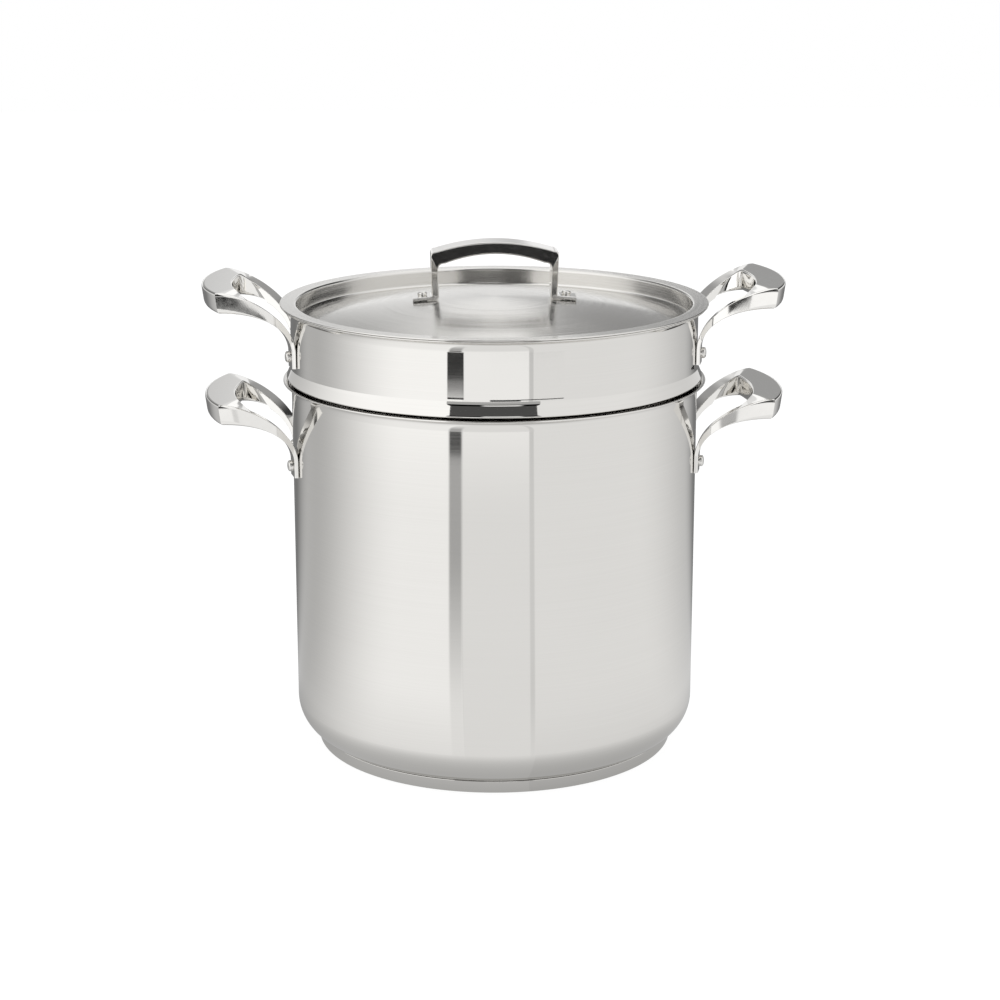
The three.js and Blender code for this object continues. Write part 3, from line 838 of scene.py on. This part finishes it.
def punches():
    """Rods through every hole of the basket, as one set of vertices and faces."""
    half_rod = 2 * hole_radius
    rod = [(0, -half_rod), (hole_radius, -half_rod), (hole_radius, half_rod), (0, half_rod)]
    rod_points, rod_faces = turned(rod, punch_sides)
    spots = []
    row = corner_level + row_pitch / 2
    stagger = 0
    while row < flange_bottom - plain_band:
        for k in range(stagger, places_round, 2):
            angle = (k + 0.5) * 2 * math.pi / places_round
            outward = Vector((math.cos(angle), math.sin(angle), 0))
            spots.append((outward * basket_wall + Vector((0, 0, row)), outward))
        row += row_pitch
        stagger = 1 - stagger
    ring = 0
    while ring * ring_pitch + hole_radius < corner_centre[0]:
        count = max(1, 6 * ring)
        for k in range(count):
            angle = 2 * math.pi * k / count
            spot = Vector((math.cos(angle), math.sin(angle), 0)) * ring * ring_pitch
            spots.append((spot + Vector((0, 0, basket_low.z)), Vector((0, 0, 1))))
        ring += 1
    points, faces = [], []
    for spot, direction in spots:
        turn = Vector((0, 0, 1)).rotation_difference(direction).to_matrix()
        first = len(points)
        points += [spot + turn @ point for point in rod_points]
        faces += [tuple(first + i for i in face) for face in rod_faces]
    return points, faces, len(spots)


punch_points, punch_faces, hole_count = punches()
punch_mesh = bpy.data.meshes.new("punches")
punch_mesh.from_pydata(punch_points, [], punch_faces)
punch = bpy.data.objects.new("punches", punch_mesh)
bpy.context.scene.collection.objects.link(punch)
cut = basket.modifiers.new("holes", "BOOLEAN")
cut.operation = "DIFFERENCE"
cut.solver = "MANIFOLD"
cut.object = punch
bpy.context.view_layer.update()
cut_mesh = bpy.data.meshes.new_from_object(basket.evaluated_get(bpy.context.evaluated_depsgraph_get()))
basket.modifiers.clear()
basket.data = cut_mesh
basket.data.set_sharp_from_angle(angle=math.radians(sheet_sharp))
bpy.data.objects.remove(punch)
print("basket with", hole_count, "holes,", len(basket.data.polygons), "faces")

# %% [markdown]
# ## The studio
# Polished metal is a picture of the room, so the room is most of the look. Many lamps could make it, but
# one half sphere whose glow is a formula of direction is easier to match. Directions are measured as seen
# from the lid: degrees round the pot and degrees of height. Only reflections see the sphere.

# %% Directions in the room
def azimuth(finish, x, y):
    """Degrees round the pot: 0 in front, positive to the right."""
    return finish.node("ShaderNodeMath", {"operation": "ARCTAN2"}, {0: x, 1: 0 - y}) * math.degrees(1)


def between(finish, value, low, high, soft):
    """1 from low to high, with edges this soft, and 0 outside."""
    return finish.rise(value, low - soft, low + soft) * finish.rise(value, high + soft, high - soft)


def lay(level, mask, cover):
    """A level with another one laid over it where the mask is 1."""
    return level + mask * (cover - level)


lamp_only = {"Roughness": 1, "Specular IOR Level": 0, "Emission Strength": 1, "Base Color": (0, 0, 0, 1)}
lid_level = 0.27

tent_light = Finish("tent_light", lamp_only)
tent_light.material.cycles.emission_sampling = "NONE"
x, y, z = tent_light.place()
turn = azimuth(tent_light, x, y)
behind = azimuth(tent_light, x, 0 - y)
across_floor = (x * x + y * y) ** 0.5
slope = tent_light.node("ShaderNodeMath", {"operation": "ARCTAN2"}, {0: z - lid_level, 1: across_floor})
height = slope * math.degrees(1)
print("room directions ready")

# %% [markdown]
# ## Side panels
# Two large white panels stand left and right of the pot and leave a dark slit in front, where the camera
# looks in. They grow dimmer towards the back, where the upper corners of the room stay dark.

# %% Side panels
slit_left = -28
slit_right = 21.5
slit_soft = 0.2
left_rear_level = 0.62
left_gain = 0.68
left_ramp = (-150, -72)
right_rear_level = 0.8
right_gain = 0.2
right_ramp = (130, 70)

slit = between(tent_light, turn, slit_left, slit_right, slit_soft)
on_left = tent_light.rise(turn, slit_left + slit_soft, slit_left - slit_soft)
on_right = tent_light.rise(turn, slit_right - slit_soft, slit_right + slit_soft)
left_panel = on_left * (left_rear_level + left_gain * tent_light.rise(turn, *left_ramp))
right_panel = on_right * (right_rear_level + right_gain * tent_light.rise(turn, *right_ramp))
level = left_panel + right_panel
print("the slit is", slit_right - slit_left, "degrees wide")

# %% Dark upper corners
dim_span = (106, 168)
dim_soft = 4
dim_bottom = (16, 19)
dim_top = (42, 38)
dim_lean = 0.3
dim_middle = 110
dim_right = 0.95
dim_left = 0.7

aside = (turn * turn) ** 0.5
dim_start = tent_light.rise(height + dim_lean * (aside - dim_middle), *dim_bottom)
dim_band = dim_start * tent_light.rise(height, *dim_top)
right_corner = between(tent_light, turn, *dim_span, dim_soft)
left_corner = between(tent_light, 0 - turn, *dim_span, dim_soft)
level = level * (1 - dim_band * (dim_right * right_corner + dim_left * left_corner))
print("dark corners from", dim_span[0], "to", dim_span[1], "degrees on both sides")

# %% [markdown]
# ## Back wall, ceiling and front lamp
# The lid mirrors the back wall: grey, brighter in the middle, with one bright strip and a pale foot.
# Above is a white ceiling. The slit in front runs up to the top, and in it hangs a lamp over the camera.
# The front of the strap mirrors that lamp down into the lid, which makes the patch before the strap
# bright.

# %% Back wall
back_edges = (26, 18)
back_low = 0.36
back_gain = 0.46
back_right_ramp = (12, -2)
back_left_ramp = (-14, -3)
back_top = (40, 36)
back_bottom = (7, 9)
strip_span = (-1, 6.6)
strip_soft = 0.8
strip_bottom = (12.5, 14)
strip_top = (50, 46)
strip_level = 1.15
wall_foot_top = (8, 7.4)
wall_foot_level = 0.95

back = tent_light.rise(behind * behind, back_edges[0] ** 2, back_edges[1] ** 2)
back_glow = tent_light.rise(behind, *back_right_ramp) * tent_light.rise(behind, *back_left_ramp)
back_band = tent_light.rise(height, *back_top) * tent_light.rise(height, *back_bottom)
level = lay(level, back * back_band, back_low + back_gain * back_glow)
strip_band = tent_light.rise(height, *strip_bottom) * tent_light.rise(height, *strip_top)
level = lay(level, between(tent_light, behind, *strip_span, strip_soft) * strip_band, strip_level)
level = lay(level, back * tent_light.rise(height, *wall_foot_top), wall_foot_level)
print("back wall", 2 * back_edges[1], "degrees wide")

# %% Ceiling, slit and front lamp
ceiling_ramp = (40, 56)
ceiling_level = 1.18
slit_depth = 0.94
slit_top = (84, 82)
slit_glow = 0.09
slit_glow_span = (28, 46)
slit_glow_soft = 1
slit_foot = 0.5
slit_foot_top = (9, 6)
lamp_span = (-9, 12)
lamp_span_soft = 2
lamp_rise = (13, 27.4)
lamp_rise_soft = 0.8
lamp_level = 1.05

level = lay(level, tent_light.rise(height, *ceiling_ramp), ceiling_level)
level = level * (1 - slit_depth * slit * tent_light.rise(height, *slit_top))
slit_haze = slit_glow * between(tent_light, height, *slit_glow_span, slit_glow_soft)
level = level + slit * (slit_haze + slit_foot * tent_light.rise(height, *slit_foot_top))
front_lamp = between(tent_light, turn, *lamp_span, lamp_span_soft)
front_lamp = front_lamp * between(tent_light, height, *lamp_rise, lamp_rise_soft)
level = lay(level, front_lamp, lamp_level)
tent_light.feed("Emission Color", level)
print("front lamp", lamp_span[1] - lamp_span[0], "degrees wide")

# %% Tent
tent_radius = 3
tent_rings = 30
tent_sides = 96

scene = bpy.context.scene
quarter = arc((0, 0), tent_radius, 0, 90, tent_rings)
tent_points, tent_faces = turned(quarter[:-1] + [(0, tent_radius)], tent_sides)
tent_mesh = bpy.data.meshes.new("tent")
tent_mesh.from_pydata(tent_points, [], tent_faces)
tent_mesh.materials.append(tent_light.material)
tent = bpy.data.objects.new("tent", tent_mesh)
tent.visible_camera = False
tent.visible_diffuse = False
tent.visible_shadow = False
scene.collection.objects.link(tent)
print("tent", 2 * tent_radius, "m across")

# %% [markdown]
# ## The table
# A white sheet that runs out of the picture. The camera sees it as white with a trace of the pot's
# shadow. In the metal it shows a glow painted by direction and distance: painted light from the panels
# and a painted shadow close to the base. A round wall bends what lies on a table, so the narrow painted
# marks follow a corrected direction, which the wall shows as upright lines.

# %% Table light
table_level = 0.55
rear_loss = 0.35
rear_edges = (125, 150)
left_edge = -19.6
right_edge = 17.8
edge_soft = 0.1
left_fall = (-118, -50)
right_fall = (150, 75)
left_light = (0.37, 0.2, 0.12)
right_light = (0.31, 0.09, 0)
front_light = (0.37, 0.02, 0.18)
near_ramp = (0.12, 0.32)
far_ramp = (0.7, 1.2)
contact_shadow_level = 0.55
contact_shadow_ramp = (0.1, 0.2)
straight_far = 0.986
straight_near = 0.0145

table = Finish("table", lamp_only)
table.material.cycles.emission_sampling = "NONE"
x, y = table.place()[:2]
turn = azimuth(table, x, y)
distance = (x * x + y * y) ** 0.5
upright = turn * (straight_far + straight_near / (distance * distance))
near = table.rise(distance, *near_ramp)
far = table.rise(distance, *far_ramp)


def glow(light):
    """A level that grows away from the pot: at its foot, added nearby, and added far out."""
    return light[0] + light[1] * near + light[2] * far


left = table.rise(upright, left_edge + edge_soft, left_edge - edge_soft) * table.rise(turn, *left_fall)
right = table.rise(upright, right_edge - edge_soft, right_edge + edge_soft) * table.rise(turn, *right_fall)
front = between(table, upright, left_edge, right_edge, edge_soft)
rear = table.rise(turn * turn, rear_edges[0] ** 2, rear_edges[1] ** 2)
# Painted light from the panels, as metal sees the table.
lit = table_level - rear_loss * rear + left * glow(left_light)
lit = lit + right * glow(right_light) + front * glow(front_light)
# Painted shadow of the pot on the table, darker close to the base.
lit = lit * (contact_shadow_level + (1 - contact_shadow_level) * table.rise(distance, *contact_shadow_ramp))
print("table light from", left_edge, "to", right_edge, "degrees in front")

# %% [markdown]
# ## Painted reflections in the table
# Only metal sees these, painted into the table's glow. A dark stand at the left is painted there as a
# reflection that leaves a column in the wall: a soft streak, a darker post at the pot's rim and a dark
# head in the collar. A thin dark line painted at the right makes a thin line in the wall. Two dark
# spots painted far out, beside the camera, darken the front of the strap and of the handles.

# %% Painted reflections in the table
stand_span = (-27.2, -18.6)
stand_soft = 0.2
stand_end = (1.56, 1.53)
column_span = (-26.2, -19.6)
column_soft = 0.8
column_end = (1.14, 1.11)
streak_ramp = (0.12, 0.65)
streak_depth = 0.56
post_span = (0.955, 1.12)
post_soft = 0.008
post_depth = 0.36
fade_ramp = (1.14, 1.26)
fade_depth = 0.75
head_ramp = (1.285, 1.295)
head_depth = 0.22
painted_line_span = (15.2, 17.6)
painted_line_soft = 0.4
painted_line_depth = (0, 0.16, 0.18)
spots = [((11, 34), (1.51, 1.78)), ((-5, 11), (1.54, 2.4))]
spot_turn_soft = 0.5
spot_distance_soft = 0.015
spot_depth = 0.98

# The stand with its streak, post and head is a painted reflection, seen only in metal.
stand = between(table, upright, *stand_span, stand_soft) * table.rise(distance, *stand_end)
column = between(table, upright, *column_span, column_soft) * table.rise(distance, *column_end)
streak = streak_depth * table.rise(distance, *streak_ramp)
post = post_depth * between(table, distance, *post_span, post_soft)
top = fade_depth * table.rise(distance, *fade_ramp) + head_depth * table.rise(distance, *head_ramp)
lit = lit * (1 - column * (streak + post) - stand * top)
# A thin dark line at the right, painted into the table's glow as a reflection.
lit = lit * (1 - between(table, upright, *painted_line_span, painted_line_soft) * glow(painted_line_depth))
# Two dark spots beside the camera, painted into the table's glow as reflections.
dark_spots = 0
for spot_turn, spot_distance in spots:
    spot = between(table, turn, *spot_turn, spot_turn_soft)
    dark_spots = dark_spots + spot * between(table, distance, *spot_distance, spot_distance_soft)
lit = lit * (1 - spot_depth * dark_spots)
print("stand, seam and", len(spots), "dark spots")

# %% [markdown]
# ## Table top and background
# One material serves three kinds of ray. The camera gets a glowing white with a little shading for the
# shadow, metal gets the painted light and shade worked out above, and every other ray gets plain white
# paper. The world behind it is white.

# %% Table and background
paper = 0.9
camera_glow = 0.9
glow_share = 0.8
half_table = 4
table_drop = 0.0002

scene.view_settings.view_transform = "Standard"
to_camera = table.node("ShaderNodeLightPath", {}, {}, output="Is Camera Ray")
to_metal = table.node("ShaderNodeLightPath", {}, {}, output="Is Glossy Ray")
white = to_camera * camera_glow
# Metal sees the painted light and shade, the camera a plain white glow.
table.feed("Emission Color", white + lit * to_metal)
table.feed("Base Color", paper - white * glow_share - to_metal * paper)

table_corners = ((-1, -1), (1, -1), (1, 1), (-1, 1))
table_points = [(half_table * i, half_table * j, -table_drop) for i, j in table_corners]
table_mesh = bpy.data.meshes.new("table")
table_mesh.from_pydata(table_points, [], [(0, 1, 2, 3)])
table_mesh.materials.append(table.material)
table_top = bpy.data.objects.new("table", table_mesh)
scene.collection.objects.link(table_top)

world = bpy.data.worlds.new("studio")
world.use_nodes = True
world.node_tree.nodes["Background"].inputs["Color"].default_value = (1, 1, 1, 1)
scene.world = world
print("table and white background")
